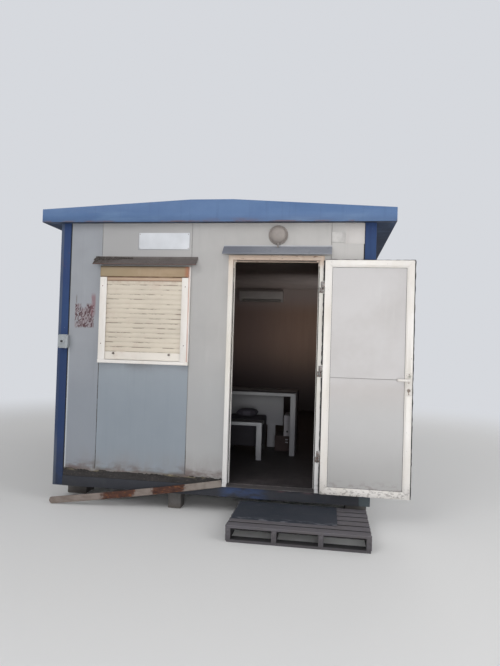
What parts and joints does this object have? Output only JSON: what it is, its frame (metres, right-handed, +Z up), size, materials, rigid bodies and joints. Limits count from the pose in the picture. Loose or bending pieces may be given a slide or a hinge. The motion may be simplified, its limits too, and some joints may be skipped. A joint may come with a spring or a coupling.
{
  "type": "portable site cabin",
  "caption": "Portable site cabin on a steel base with sandwich panel walls, a shallow two-slope roof, a shuttered window, a hinged door and a pallet doorstep.",
  "frame": {"origin": "on the ground, at the middle of the whole footprint with the door folded right back", "axes": "+X to the right along the front, +Y from the front to the back, +Z up"},
  "size_m": [3.506, 6.75, 2.891],
  "materials": {
    "frame_blue": "faded satin paint, rust at edges",
    "panel_grey": "weathered satin paint",
    "panel_blue_grey": "weathered satin paint",
    "frame_white": "weathered white paint",
    "shutter_cream": "yellowed slats",
    "box_tan": "yellowed paint",
    "cap_brown": "rusted and dirty",
    "cap_grey": "satin blue grey paint",
    "roof_zinc": "weathered zinc coat",
    "hinge_steel": "dull, rusted",
    "lamp_grey": "dusty",
    "sign_white": "bare white plate",
    "box_white": "satin",
    "glass": "clear",
    "trim_rust": "peeling white paint over rust",
    "concrete": "rough",
    "timber_grey": "weathered",
    "mat_dark": "dusty",
    "floor_brown": "dark floor board",
    "furniture_white": "white faced board",
    "drawer_brown": "brown board",
    "unit_white": "satin",
    "seat_dark": "dark upholstery"
  },
  "bodies": {
    "cabin": {"support_blocks": "concrete", "base_rails": "frame_blue", "floor_joists": "frame_blue", "floor_deck": "floor_brown", "corner_posts": "frame_blue", "front_wall_left": "panel_grey", "front_wall_under_window": "panel_blue_grey", "front_wall_over_window": "panel_grey", "front_wall_middle": "panel_grey", "front_wall_over_door": "panel_grey", "front_wall_right": "panel_grey", "left_wall": "panel_grey", "right_wall": "panel_grey", "back_wall": "panel_grey", "top_rails": "frame_blue", "ceiling": "panel_grey", "roof_sheets": "roof_zinc", "ridge_cap": "roof_zinc", "end_fascias": "frame_blue", "side_eaves": "frame_blue", "shutter_guides": "frame_white", "window_sill": "frame_white", "shutter_box": "box_tan", "shutter_curtain": "shutter_cream", "shutter_bottom_bar": "shutter_cream", "window_sash": "frame_white", "window_glass": "glass", "window_cap": "cap_brown", "door_frame": "frame_white", "door_cap": "cap_grey", "frame_hinges": "hinge_steel", "round_lamp": "lamp_grey", "sign_plate": "sign_white", "junction_box": "box_white", "loose_trim": "trim_rust", "foot_trims": "frame_white", "pallet_boards": "timber_grey", "pallet_bearers": "timber_grey", "step_mat": "mat_dark", "desk": "furniture_white", "side_table": "furniture_white", "low_seat": "seat_dark", "drawer_unit": "drawer_brown", "air_conditioner": "unit_white"},
    "door": {"leaf_frame": "frame_white", "leaf_panels": "panel_grey", "leaf_seal": "mat_dark", "leaf_hinges": "hinge_steel", "lock_plates": "frame_white"},
    "handle": {"door_handle": "frame_white"}
  },
  "joints": [
    {"name": "door_hinge", "type": "hinge", "parent": "cabin", "child": "door", "pos_m": [0.9425, -2.715, 1.3], "axis": [0, 0, -1], "range_deg": [0, 180]},
    {"name": "handle_turn", "type": "hinge", "parent": "door", "child": "handle", "pos_m": [1.715, -2.745, 1.291], "axis": [0, -1, 0], "range_deg": [0, 40], "stiffness_Nm_per_rad": 1.5, "springref_deg": -11.46}
  ]
}
